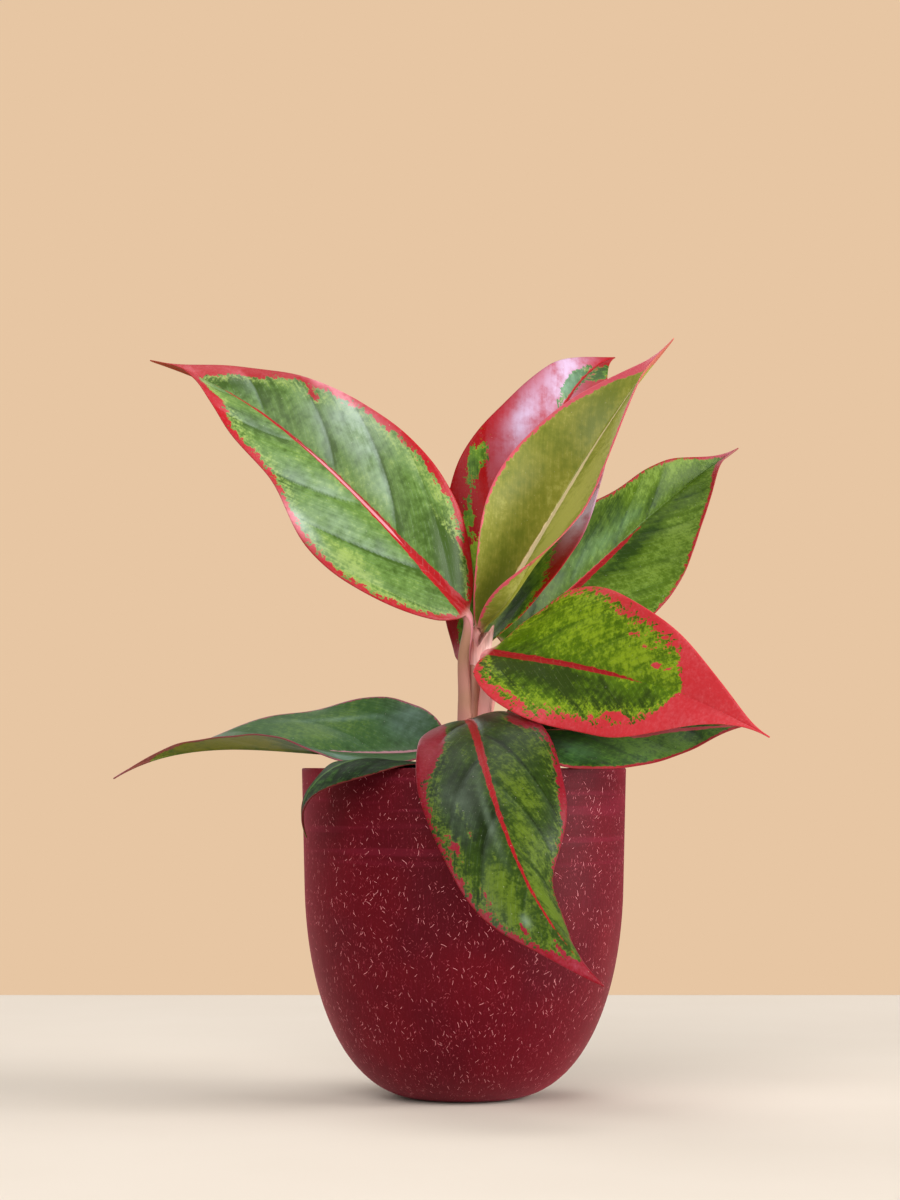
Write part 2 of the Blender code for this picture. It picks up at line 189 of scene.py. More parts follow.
LOOKS = {
    "leaf_upper_left": Look(
        "red_edged_leaf", "3B5618 62823C 90A756 B8CCC0 9A8A50 A80D18 E6909C A81219 B08269",
        margin_left=((0, 2.4), (0.35, 1.9), (0.55, 1.9), (0.7, 2.6), (0.85, 4), (0.88, 9), (0.92, 20)),
        margin_right=((0, 3.6), (0.5, 2.6), (0.68, 3.2), (0.78, 4.8), (0.86, 8), (0.91, 20)),
        rib=((0, 4.2), (0.06, 3), (0.2, 1.6), (0.4, 0.95), (0.65, 0.7), (0.83, 0.1), (1, -1)),
        core=((0, -1), (0.2, -0.3), (0.27, 0.5), (0.5, 0.4), (0.6, -0.2), (1, -1)),
        ragged=1.7, mottle=0.8, slope_sheen=0.6, quilt=33, vein_start=0.15, quilt_depth=1.5,
        red_zones=((0.62, 17, 4, 2, 6), (0.2, 17, 13, 1.2, 4), (0.78, 13, 7, 3, 2.5),
            (0.76, -12, 12, 3, 3.2)),
        tone_zones=((0.14, 12, 22, 10, -1.2), (0.65, 9, 14, 6, -0.8), (0.7, -8, 14, 5, -0.5),
            (0.85, 7, 14, 7, -2), (0.3, 24, 26, 3, 0.6), (0.25, -22, 30, 4, 0.7), (0.8, -6, 14, 6, 0.5)),
        painted_sheen_zones=((0.5, 17, 15, 8, 0.8), (0.34, 9, 13, 6, 0.3), (0.42, -12, 30, 8, 0.3),
            (0.14, 11, 24, 10, -0.7), (0.14, -12, 20, 8, -0.15), (0.6, 24, 14, 3, 0.9),
            (0.43, -25, 12, 3, 1))),
    "leaf_back_tall": Look(
        "red_leaf", "2F4E0C 5E8426 8CA82D 86AA92 7A8440 9E0508 C8AECA A01820 C87A6A",
        margin_left=((0, 3), (0.25, 10), (0.35, 22), (0.7, 26), (1, 30)),
        margin_right=((0, 2), (0.2, 4.5), (0.35, 9), (0.6, 20)),
        rib=((0, 1.5), (0.5, 1), (1, 0.5)),
        ragged=2.6, mottle=0.35, dusty=0.03, slope_sheen=0.25, quilt=30, gloss=0.34, shine=0.1,
        red_zones=((0.5, -23, 11, 4.5, -9.5), (0.36, -20, 11, 4, -8), (0.28, -12, 12, 4, -8),
            (0.8, -2, 14, 3.5, -11), (0.88, 5, 9, 4.5, -11), (0.15, 15, 14, 8, -7),
            (0.74, -9, 16, 1.5, 2)),
        tone_zones=((0.16, 16, 14, 5, -1), (0.15, 7, 16, 3, 1.2), (0.33, -14, 14, 5, 1.2),
            (0.84, 1, 16, 8, -1.6)),
        painted_sheen_zones=((0.64, -12, 17, 6, 0.95), (0.78, -4, 18, 5, 0.9), (0.84, -10, 13, 5, 0.7),
            (0.46, 23, 16, 5, 1.8))),
    "leaf_new_center": Look(
        "young_leaf", "6F7925 8A8C33 A8A650 D4CC84 A8AC4C CC4E5C F2ACA8 DDC79C D89C88",
        margin_left=((0, 0.6), (0.4, 0.8), (0.6, 1.2), (0.8, 2.6), (0.92, 8), (1, 12)),
        margin_right=((0, 1.2), (0.6, 0.8), (0.8, 2), (0.9, 5), (1, 10)),
        rib=((0, 2.4), (0.3, 2.6), (0.5, 1.9), (0.65, 1), (0.85, 0.4), (1, 0.1)),
        rib_shift=((0, 1.2), (0.4, 2), (0.7, 2.6), (1, 0)),
        ragged=0.7, mottle=0.1, slope_sheen=0.1, quilt=34, quilt_depth=0.3, gloss=0.42,
        tone_zones=((0.4, 17, 44, 10, 1.6), (0.15, -6, 18, 6, -0.7), (0.7, -6, 20, 5, -0.6))),
    "leaf_back_right": Look(
        "red_edged_leaf", "283F08 4A6412 6E8830 789C76 6E8044 921215 D08C98 A81C24 D2907F",
        margin_left=((0, 0.6), (0.85, 0.7), (1, 3)),
        margin_right=((0, 0.8), (0.5, 0.9), (0.82, 1.3), (1, 5)),
        rib=((0, 2.2), (0.3, 1.5), (0.5, 0.9), (0.63, 0), (0.7, -1)),
        rib_shift=((0, 0.8), (0.5, 1.2), (1, 0)),
        ragged=0.8, slope_sheen=0.12, quilt=28, shine=0.1,
        tone_zones=((0.5, 17, 32, 9, 0.8), (0.5, 5, 24, 3, -1.1), (0.72, -13, 22, 6, 0.9),
            (0.45, -14, 16, 5, -0.5)),
        painted_sheen_zones=((0.4, -7, 24, 6, 0.5), (0.55, -6, 10, 3, 0.3), (0.95, 0, 9, 5, 0.6))),
    "leaf_front_right": Look(
        "red_edged_leaf", "2C4004 507004 8AA61C A8BC7A 7C8A34 CC3038 F08C94 A0121C DEA094",
        margin_left=((0, 0.6), (0.12, 0.8), (0.2, 1.6), (0.35, 2.8), (0.55, 4), (0.66, 5.5), (0.74, 26),
            (1, 30)),
        margin_right=((0, 3), (0.2, 4), (0.5, 5.5), (0.65, 8), (0.73, 26), (1, 30)),
        rib=((0, 2.2), (0.2, 1.5), (0.45, 0.9), (0.58, 0), (0.62, -1)),
        rib_shift=((0, 0.8), (0.5, 0.6), (1, 0)),
        ragged=3.2, mottle=1.3, dusty=0.2, slope_sheen=0.1, quilt=26, quilt_depth=0.6,
        red_zones=((0.53, 15, 7, 1.8, 6), (0.6, -7, 7, 2, 11), (0.55, -12, 6, 1.3, 9.5),
            (0.64, -3, 4, 1.1, 8), (0.5, -15, 7, 1.6, 8), (0.45, -21, 8, 3, 2.5)),
        tone_zones=((0.24, 6, 28, 5, -1.4), (0.4, 12, 30, 6, -0.5), (0.3, -12, 26, 11, 0.8),
            (0.58, -8, 14, 8, 0.7), (0.12, -22, 5, 3, -1.2), (0.3, 18, 20, 2, 0.6))),
    "leaf_front_drooping": Look(
        "dark_leaf", "122002 263A06 526616 7C9078 5E6E30 7A0616 A84C62 8E0E16 B85A4C",
        margin_left=((0, 1.8), (0.25, 2), (0.5, 1), (0.8, 1.1), (0.9, 3), (0.95, 8), (1, 12)),
        margin_right=((0, 2), (0.5, 1.2), (0.7, 1.5), (0.8, 1.6), (0.9, 3), (0.95, 8), (1, 12)),
        rib=((0, 2), (0.3, 1.6), (0.5, 0.9), (0.8, 0.5), (0.9, 0), (1, -1)),
        rib_shift=((0, 0.8), (0.2, 1.6), (0.5, 0.6), (1, 0)),
        ragged=2, mottle=0.8, dusty=0.22, slope_sheen=0.2, quilt=30, vein_start=0.5, quilt_depth=1.1,
        shine=0.13,
        red_zones=((0.22, 19, 20, 8, 15), (0.18, -14, 8, 6, 9), (0.5, 14, 5, 1.6, 9),
            (0.59, 19, 7, 2.5, 5), (0.46, -26, 16, 2, 3), (0.56, 13, 4, 1.3, 9), (0.63, 8, 3, 1.2, 8.5),
            (0.7, 16, 6, 1.3, 5), (0.8, 10, 3, 1.3, 6), (0.86, 3, 7, 1.2, 5)),
        tone_zones=((0.5, -10, 34, 9, 0.7), (0.75, -5, 20, 5, 1.1), (0.1, -5, 10, 4, -1),
            (0.45, 10, 22, 8, -0.9), (0.75, 10, 14, 6, 0.8)),
        painted_sheen_zones=((0.48, 14, 12, 5, 0.35), (0.79, 8, 2.5, 1.5, 0.8), (0.52, 5, 16, 1.5, 0.4))),
    "leaf_lower_left": Look(
        "dark_leaf", "264318 3A5C2C 567430 90ACA6 7A802E 86243C C89AA8 B07A84 B06A58",
        margin_left=((0, 0.9), (0.86, 0.9), (0.93, 3), (1, 4)),
        rib=((0, 1.2), (0.5, 0.6), (1, 0.3)),
        ragged=0.5, mottle=0.15, slope_sheen=0.3, quilt=28, quilt_depth=0.6,
        tone_zones=((0.13, 14, 12, 9, -0.9), (0.42, 14, 20, 8, 0.7), (0.6, -10, 16, 10, -0.5)),
        painted_sheen_zones=((0.3, -23, 12, 5, 0.9), (0.12, 14, 9, 8, 0.45), (0.35, 17, 18, 1.2, 0.35))),
    "leaf_rim_left": Look(
        "dark_leaf", "041001 0F2603 325914 4E7A3C 1E3A0C 5E1A1C 8E5A50 4A6A2C 8E4A3C",
        margin_left=((0, 0.5), (0.8, 0.5), (1, 6)),
        rib=((0, 0.9), (0.6, 0.7), (1, 0.3)),
        ragged=0.4, mottle=0.1, slope_sheen=0, quilt=20, quilt_depth=0.5, gloss=0.55, shine=0.06),
    "leaf_lower_right": Look(
        "dark_leaf", "12240A 2C500E 56801C 628A6C 58682E 9A2029 C8707A B8404C B06A58",
        margin_left=((0, 0.8), (1, 1.2)),
        rib=((0, 1.3), (0.45, 1.5), (0.58, 3.4), (0.75, 1), (1, 0.4)),
        rib_shift=((0, 0), (0.4, 3), (0.58, 6), (0.76, 3), (1, 0)),
        ragged=0.5, mottle=0.2, slope_sheen=0.25, quilt=24, quilt_depth=0.5, shine=0.14,
        tone_zones=((0.7, 14, 25, 12, 1.1), (0.3, 16, 18, 14, -1)),
        painted_sheen_zones=((0.4, 22, 8, 6, 0.4),)),
}


# ---- mesh helpers

def polar(r, turn, z):
    """Points at a radius from the Z axis, an angle round it and a height."""
    return np.stack([r * np.cos(turn), r * np.sin(turn), z + 0 * r * turn], axis=-1)


def full_turn(count):
    """Evenly spaced angles, all the way round."""
    return np.arange(count) * 2 * math.pi / count


def cubic(t, start, leaving, arriving, end):
    """Points on a cubic Bezier curve, given by its two ends and the handles between them."""
    return (1 - t) ** 3 * start + 3 * t * (1 - t) ** 2 * leaving \
        + 3 * t ** 2 * (1 - t) * arriving + t ** 3 * end


def swell(x, y, wave, turn, phase):
    """A straight sine wave over x and y, of a given length, direction and phase."""
    return np.sin(2 * math.pi * (x * math.cos(turn) + y * math.sin(turn)) / wave + phase)


def weave(rows, columns, caps=True):
    """Four-sided faces over a grid of points whose rows are rings, so that they make a tube. A
    flat strip of faces closes each of its ends where there are caps."""
    index = np.arange(rows * columns).reshape(rows, columns)
    beside = np.roll(index, -1, axis=1)
    quads = np.stack([index[:-1], beside[:-1], beside[1:], index[1:]], axis=-1).reshape(-1, 4)
    if caps:
        half = columns // 2
        for row, facing in ((index[0], 1), (index[-1], -1)):
            top, bottom = row[:half], row[half:][::-1]
            strip = np.stack([top[:-1], bottom[:-1], bottom[1:], top[1:]], axis=-1)
            quads = np.concatenate([quads, strip[:, ::facing]])
    return quads


def skin(name, grid, caps=True):
    """A mesh over a grid of points (rows, columns, 3) in millimetres."""
    return mesh_from(name, grid.reshape(-1, 3), weave(*grid.shape[:2], caps))


def mesh_from(name, points, quads):
    """A smooth-shaded mesh from points in millimetres and four-sided faces."""
    mesh = bpy.data.meshes.new(name)
    mesh.vertices.add(len(points))
    mesh.vertices.foreach_set("co", (points * MM).astype(np.float32).ravel())
    mesh.loops.add(quads.size)
    mesh.loops.foreach_set("vertex_index", quads.astype(np.int32).ravel())
    mesh.polygons.add(len(quads))
    mesh.polygons.foreach_set("loop_start", np.arange(0, quads.size, quads.shape[1], dtype=np.int32))
    mesh.update(calc_edges=True)
    mesh.validate()
    mesh.shade_smooth()
    return mesh


def store(mesh, name, values):
    """Keep a number, or a place in metres, for every point of a mesh."""
    kind = "FLOAT" if values.ndim == 1 else "FLOAT_VECTOR"
    field = mesh.attributes.new(name, kind, "POINT")
    field.data.foreach_set("value" if values.ndim == 1 else "vector", values.astype(np.float32).ravel())


def put(name, data):
    """A new object in the scene, at the origin."""
    made = bpy.data.objects.new(name, data)
    bpy.context.scene.collection.objects.link(made)
    return made


def show(name, mesh, material, slot, *nodes):
    """Put a finished mesh in the scene, where it rides on the part and stands for its solid."""
    mesh.materials.append(material)
    piece = put(name, mesh)
    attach(piece, "root")
    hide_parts(*nodes)


# ---- leaf form

def along(values, t):
    """Smooth run (a parabola) through the values given for the base, middle and tip."""
    start, middle, end = values
    return start * (1 - t) * (1 - 2 * t) + 4 * middle * t * (1 - t) + end * t * (2 * t - 1)


def blade_frames(leaf, t):
    """Midrib points, and the directions along, across (to the right) and out of the blade. The
    midrib is the running sum of its own direction."""
    def forward(u):
        """The midrib's direction, from its heading and pitch."""
        heading, pitch = np.radians(along(leaf.heading, u)), np.radians(along(leaf.pitch, u))
        return polar(np.cos(pitch), heading, np.sin(pitch))

    fine = np.linspace(0, 1, 401)
    steps = forward(fine)
    path = np.vstack([np.zeros(3), np.cumsum((steps[1:] + steps[:-1]) / 2, axis=0)])
    path *= leaf.length / (len(fine) - 1)
    midrib = np.column_stack([np.interp(t, fine, path[:, k]) for k in range(3)]) + np.array(leaf.base)
    heading, roll = np.radians(along(leaf.heading, t)), np.radians(along(leaf.roll, t))[:, None]
    ahead = forward(t)
    level = np.column_stack([np.sin(heading), -np.cos(heading), np.zeros_like(t)])
    above = np.cross(level, ahead)
    return midrib, ahead, np.cos(roll) * level + np.sin(roll) * above, \
        np.cos(roll) * above - np.sin(roll) * level


def half_width(leaf, t, side):
    """Distance from midrib to margin on one side (-1 left, +1 right): a power of the way from
    the base times a power of the way from the tip, taken in a little at a pinch and drawn out
    into a slender tail at the tip. At the base it passes into the stalk's own radius. A half that
    is still rolled up there is broader."""
    rise, taper = leaf.outline
    widest = rise / (rise + taper)
    shape = t ** rise * (1 - t) ** taper / (widest ** rise * (1 - widest) ** taper)
    half = int(side > 0)
    pinch, where = leaf.pinch[half]
    drawn = 1 - leaf.tail * np.exp(-((1 - t) / leaf.tail_reach) ** 2)
    taken_in = 1 - pinch * np.exp(-((t - where) / PINCH_REACH) ** 2)
    blade = leaf.half_widths[half] * shape * drawn * taken_in
    blade *= 1 + 0.004 * half * leaf.roll_up * np.exp(-(t / 0.12) ** 2)
    return np.hypot(blade, 0.3 + (STALK_RADIUS - 0.3) * np.maximum(0, 1 - 12 * t) ** 2)


def blade_fields(leaf, t):
    """For every station (rows) and place across (columns) of a blade: its side (-1 or 1), its
    reach from midrib to margin (0 to 1), and in millimetres its signed distance from the midrib,
    its distance along, and its distance in from the margin."""
    side = np.where(ACROSS < 0, -1, 1)[None, :]
    width = np.where(side < 0, half_width(leaf, t, -1)[:, None], half_width(leaf, t, 1)[:, None])
    reach = np.abs(ACROSS) + 0 * width
    y = (t * leaf.length)[:, None] + 0 * width
    inward = np.minimum((1 - reach) * width, 0.4 * (leaf.length - y))
    return side, width, reach, side * reach * width, y, inward


def vein_lay(x, y):
    """Where on the midrib, in millimetres from the base, the side vein through a point starts:
    veins leave the midrib at nearly half a right angle and bend towards the tip, as y - y0 =
    1.2 x + 0.03 x squared."""
    return y - VEIN_SLANT * np.abs(x) - VEIN_BEND * x ** 2


def quilting(leaf, look, x, y, reach, seed):
    """Height, slope and creases of the blade's quilting. Each side vein lies in a valley whose
    bottom is rounded over 0.7 mm and whose depth falls off exponentially to both sides, and the
    height is the sum of the valleys. A crease is a valley that falls off sooner."""
    rng = np.random.default_rng(seed)
    lay = vein_lay(x, y) + np.where(x < 0, 0.5 * look.quilt, 0)
    starts = (np.arange(-3, leaf.length / look.quilt + 1) + look.vein_start) * look.quilt
    starts = starts + rng.uniform(-0.08, 0.08, len(starts)) * look.quilt
    depths = look.quilt_depth * rng.uniform(0.45, 1.0, len(starts))
    spread = 0.27 * look.quilt
    apart = lay[..., None] - starts
    away = np.sqrt(apart ** 2 + 0.7 ** 2)
    valley = depths * np.exp(-away / spread)
    fade = np.minimum(1, np.abs(x) / 4) * (1 - reach ** 3)
    height = -(valley.sum(axis=-1) - valley.sum(axis=-1).mean()) * fade
    slope = (valley / spread * apart / away).sum(axis=-1) * fade
    crease = (depths * np.exp(-away / CREASE)).sum(axis=-1) * fade
    return height, slope, crease


def blade_middle(leaf, look, t, seed):
    """Middle surface of the blade. Each half rises from the midrib at its fold angle and bends
    back evenly towards the margin: its cross-section is an arc, whose sine and cosine are
    summed outwards. A half that is still rolled up at its base bends the other way there. The
    quilting and smooth waves lie on it, and its margin ripples."""
    midrib, ahead, across, out = blade_frames(leaf, t)
    side, width, reach, x, y, inward = blade_fields(leaf, t)
    rolled = np.where(side < 0, 0, leaf.roll_up * np.exp(-(t / ROLL_REACH) ** 2)[:, None])
    start, end = (np.where(side < 0, *halves) for halves in zip(*leaf.fold))
    fold = np.radians(start + (end - start) * t[:, None] - 0.4 * rolled)
    arch = np.radians(leaf.arch - rolled)
    arch = np.where(np.abs(arch) < 0.01, 0.01, arch)
    angle = fold - arch * reach
    sideways = (np.sin(fold) - np.sin(angle)) / arch * width
    upwards = (np.cos(angle) - np.cos(fold)) / arch * width
    ends = np.minimum(1, 8 * t)[:, None] * np.minimum(1, 5 * (1 - t))[:, None]
    upwards += RIPPLE * reach ** 3 * ends * np.sin(2 * math.pi * (RIPPLES * t[:, None] + 0.4 * side))
    rng = np.random.default_rng(seed)
    for wave in WAVES:
        turn, phase = rng.uniform(0, math.pi), rng.uniform(0, 2 * math.pi)
        upwards += wave / 120 * reach * ends * swell(x, y, wave, turn, phase)
    height, slope, crease = quilting(leaf, look, x, y, reach, seed)
    upwards += height * ends
    back = leaf.lobe * reach ** 2 * ((1 - t) ** 4 * np.minimum(1, 20 * t))[:, None]
    middle = midrib[:, None] + (side * sideways)[..., None] * across[:, None] \
        + upwards[..., None] * out[:, None] - back[..., None] * ahead[:, None]
    return middle, ahead, across, out, (x, y, reach, inward, slope, crease)


def blade_faces(leaf, look, seed):
    """The blade's upper and lower face. The midrib is a channel above and a half-round rib
    below, and the blade thins to a rounded edge at its margin."""
    spread = np.linspace(0, 1, ALONG)
    t = 0.78 * spread + 0.22 * spread ** 2
    middle, ahead, across, out, fields = blade_middle(leaf, look, t, seed)
    normals = np.cross(np.gradient(middle, axis=1), np.gradient(middle, axis=0))
    normals *= np.sign((normals * out[:, None]).sum(axis=2, keepdims=True))
    normals[0] = out[0]
    normals /= np.maximum(np.linalg.norm(normals, axis=2, keepdims=True), 1e-9)
    x, _, _, inward, _, _ = fields
    rib = STALK_RADIUS + (RIB_TIP_RADIUS - STALK_RADIUS) * np.minimum(1, 1.6 * t) ** 0.7
    rib = (rib * np.minimum(1, 12 * (1 - t) + 0.3))[:, None]
    bulge = np.sqrt(np.maximum(0, 1 - (x / rib) ** 2)) * rib
    thin = BLADE_THICKNESS / 2 * (0.3 + 0.7 * np.minimum(1, inward / 0.9) ** 0.5)
    joint = np.maximum(0, 1 - 12 * t)[:, None]
    channel = 0.3 * rib * np.exp(-(x / (0.75 * rib)) ** 2) * (1 - joint)
    top = middle + normals * (thin + 0.45 * bulge * joint - channel)[..., None]
    bottom = middle - normals * (thin + bulge)[..., None]
    return t, top, bottom, middle[0, MIDRIB], ahead[0], across[0], fields


def stem_axis(z):
    """Middle of the stem at each height: upright in the mix, then leaning a little."""
    lean = np.interp(z, STEM_HEIGHTS, (0, 0.4, 1.4))
    return np.stack([STEM_FOOT_X + lean, 0 * lean, z + 0 * lean], axis=-1)


def stem_radius(z):
    """Radius of the stem with the innermost sheaths on it."""
    return np.interp(z, STEM_HEIGHTS, (4.7, 4.6, 3.9))


def sheath_ring(foot, way, z):
    """One ring of the sheath that clasps the stem below a stalk: a crescent of the stem's
    circle, thick in its middle, which widens and thins out on its way down (way 0 to 1)."""
    axis, radius = stem_axis(z), stem_radius(z)
    start = stem_axis(foot[2])
    facing = math.atan2(foot[1] - start[1], foot[0] - start[0])
    turn = facing - ACROSS * (0.5 + 1.1 * way)
    outward = polar(1, turn, 0)
    thick = 3.1 * (1 - way) ** 1.3
    inner = axis + outward * (radius - 0.7)
    outer = axis + outward * (radius + 0.15 + thick * np.sqrt(1 - ACROSS ** 2))[:, None]
    return inner, outer


def stalk_rings(leaf, blade_base, ahead, across):
    """Rings up the stalk, along a cubic curve from its foot to the blade, each round below and
    nearly flat above. Near its foot the stalk passes into its sheath on the stem."""
    foot, bend = (np.array(point, dtype=float) for point in leaf.stalk)
    last = blade_base - ahead * leaf.bend
    start = stem_axis(foot[2])
    clasping = math.hypot(foot[0] - start[0], foot[1] - start[1]) > 2.0
    inwards = (start - foot) / max(np.linalg.norm(start - foot), 1e-6)
    inner, outer, ways = [], [], np.linspace(1, 0, STALK_ALONG + 1)[1:]
    for t in ways:
        centre = cubic(t, foot, bend, last, blade_base)
        course = (1 - t) ** 2 * (bend - foot) + 2 * t * (1 - t) * (last - bend) \
            + t ** 2 * (blade_base - last)
        course /= np.linalg.norm(course)
        across = across - course * (across @ course)
        across /= np.linalg.norm(across)
        turned = across
        if clasping:
            tangent = np.cross(course, inwards)
            turned = across * t ** 2 + tangent / np.linalg.norm(tangent) * (1 - t ** 2)
            turned = turned - course * (turned @ course)
            turned /= np.linalg.norm(turned)
        out = np.cross(turned, course)
        radius = STALK_FOOT_RADIUS + (STALK_RADIUS - STALK_FOOT_RADIUS) * t
        sideways = (radius * np.sin(ACROSS * math.pi / 2))[:, None] * turned
        bow = radius * np.cos(ACROSS * math.pi / 2)
        above = centre + sideways + (0.3 + 0.45 * bow)[:, None] * out
        below = centre + sideways - (0.3 + bow)[:, None] * out
        if clasping:
            clasp = np.clip((0.5 - t) / 0.5, 0, 1)
            clasp = clasp * clasp * (3 - 2 * clasp)
            near, far = sheath_ring(foot, 0, centre[2])
            above, below = above + clasp * (near - above), below + clasp * (far - below)
        inner.append(above)
        outer.append(below)
    if clasping:
        low = max(SOIL_LEVEL - 2, foot[2] - 36)
        for way in np.linspace(0, 1, SHEATH_ALONG)[1:]:
            near, far = sheath_ring(foot, way, foot[2] + way * (low - foot[2]))
            inner.append(near)
            outer.append(far)
    return np.array(inner[::-1]), np.array(outer[::-1])


def zones_field(leaf, x, y, zones):
    """Sum of soft oval patches, each at (way along, millimetres across, half length, half
    width, strength): a bell curve of the distance from its middle."""
    total = np.zeros_like(x)
    for way, beside, half_length, half_breadth, strength in zones:
        apart = ((y - way * leaf.length) / half_length) ** 2 + ((x - beside) / half_breadth) ** 2
        total += strength * np.exp(-apart)
    return total


def profile(pairs, t):
    """Straight runs between (way along, value) pairs, as a column."""
    ways, values = zip(*pairs)
    return np.interp(t, ways, values)[:, None]


def both_faces(rows):
    """Values of the upper face, and the same again in the order of the lower face's points."""
    return np.concatenate([rows, rows[:, ::-1]], axis=1)


def make_leaf(leaf, look, seed):
    """Blade and stalk as one skin, with the fields that its colouring follows: the same on both
    faces, and one value down the stalk. A point's place is how far it lies across and along the
    leaf, and the lower face's places are set 40 mm apart."""
    t, top, bottom, blade_base, ahead, across, fields = blade_faces(leaf, look, seed)
    stalk_inner, stalk_outer = stalk_rings(leaf, blade_base, ahead, across)
    upper = np.concatenate([stalk_inner, top])
    lower = np.concatenate([stalk_outer, bottom])
    mesh = skin(leaf.name, np.concatenate([upper, lower[:, ::-1]], axis=1))

    x, y, _, inward, slope, crease = fields
    zones = partial(zones_field, leaf, x, y)
    left, right = profile(look.margin_left, t), profile(look.margin_right or look.margin_left, t)
    margin = np.where(ACROSS < 0, left, right)
    beside = np.abs(x - profile(look.rib_shift, t))
    coloured = {
        "lay": (vein_lay(x, y) * MM, -60 * MM),
        "red": (np.clip(margin - inward, -9, 6) + zones(look.red_zones), OFF_BLADE),
        "rib": (profile(look.rib, t) - beside, OFF_BLADE),
        "core": (profile(look.core, t) - beside, OFF_BLADE),
        # the tone zones, less painted shade along the creases over the side veins
        "tone": (zones(look.tone_zones) - 1.7 * crease, 0),
        # painted sheen: lighter where the quilting slopes, and in patches of painted highlight
        "bloom": (np.clip(slope * 6, -1, 1) * look.slope_sheen + zones(look.painted_sheen_zones), 0),
        "stalk": (np.maximum(0, 1 - t * 70)[:, None] + 0 * x, 1),
    }
    down = np.zeros((len(stalk_inner), len(ACROSS)))
    for key, (on_blade, on_stalk) in coloured.items():
        store(mesh, key, both_faces(np.concatenate([down + on_stalk, on_blade])).ravel())

    run = np.linalg.norm(np.diff(upper[:len(down) + 1, MIDRIB], axis=0), axis=1)[::-1].cumsum()[::-1]
    x = both_faces(np.concatenate([down + 2.5 * ACROSS, x]))
    y = both_faces(np.concatenate([down - run[:, None], y]))
    under = np.repeat([0, 1], len(ACROSS)) + 0 * x
    store(mesh, "leaf_place", np.stack([x, y, 40 * under], axis=-1).reshape(-1, 3) * MM)
    store(mesh, "under", under.ravel())
    material = leaf_skin("waxy_" + leaf.name, look)
    show(leaf.name + "_fine", mesh, material, look.slot, leaf.name)


# ---- materials

def colour(hexa):
    """A six-figure sRGB hex value as the linear colour that the shaders take."""
    parts = np.array([int(hexa[i:i + 2], 16) for i in (0, 2, 4)]) / 255
    linear = np.where(parts <= 0.04045, parts / 12.92, ((parts + 0.055) / 1.055) ** 2.4)
    return (*linear, 1.0)


def per(size):
    """Features per metre for a pattern whose features are the given millimetres across."""
    return 1 / (size * MM)


# Kinds of shader node with their settings, the inputs that are fed and the output that is taken
TIMES, TIMES_PLUS, MINUS, HIGHER, POWER, ABSOLUTE, FRACTION = (
    dict(kind="Math", operation=name) for name in
    ("MULTIPLY", "MULTIPLY_ADD", "SUBTRACT", "MAXIMUM", "POWER", "ABSOLUTE", "FRACT"))
VECTOR = dict(kind="VectorMath")
SHARES = dict(kind="VectorMath", operation="DOT_PRODUCT", out="Value")  # three, each times its share
JOIN = dict(kind="CombineXYZ")
SPLIT = dict(kind="SeparateXYZ")
RANGE = dict(kind="MapRange", interpolation_type="SMOOTHSTEP")
MIX = dict(kind="Mix", data_type="RGBA", at=(0, 6, 7), out=2)
NOISE = dict(kind="TexNoise", at=("Vector", "Scale", "Detail", "Roughness"))
VORONOI = dict(kind="TexVoronoi", voronoi_dimensions="2D", at=("Vector", "Scale"))
PLACE = dict(kind="TexCoord", out="Object")
STRETCH = dict(kind="Mapping", at=("Vector", "Scale"))
TURN = dict(kind="VectorRotate", rotation_type="Z_AXIS", at=("Vector", "Angle"))
FIELD = dict(kind="Attribute", out="Fac")
BUMP = dict(kind="Bump", at=("Strength", "Distance", "Height"))
GLOSS = ("Roughness", "Specular IOR Level", "Coat Weight", "Coat Roughness",
         "Sheen Weight", "Sheen Roughness", "Sheen Tint")


def feed(socket, value):
    """Link another node's output to an input, or set a number or a hex colour on it."""
    if isinstance(value, bpy.types.NodeSocket):
        socket.id_data.links.new(value, socket)
    else:
        socket.default_value = colour(value) if isinstance(value, str) else value


def add(tree, kind, *values, **more):
    """Add a node of a kind, with any more settings, feed its inputs in order, or those that the
    kind names, with values or links, and give back one of its outputs."""
    settings = {"at": range(len(values)), "out": 0, **kind, **more}
    name, at, out = (settings.pop(key) for key in ("kind", "at", "out"))
    made = tree.nodes.new("ShaderNode" + name)
    for key, value in settings.items():
        setattr(made, key, value)
    for key, value in zip(at, values):
        feed(made.inputs[key], value)
    return made.outputs[out]


def new_material(name):
    """An empty node material, its way of adding nodes, and its Principled shader."""
    material = bpy.data.materials.new(name)
    material.use_nodes = True
    tree = material.node_tree
    return material, partial(add, tree), tree.nodes["Principled BSDF"]


def finish(material, shader, body, relief, gloss):
    """Feed a finished colour, a relief and the first few values of the gloss to the shader."""
    for key, value in zip(("Base Color", "Normal", *GLOSS), (body, relief, *gloss)):
        feed(shader.inputs[key], value)
    return material


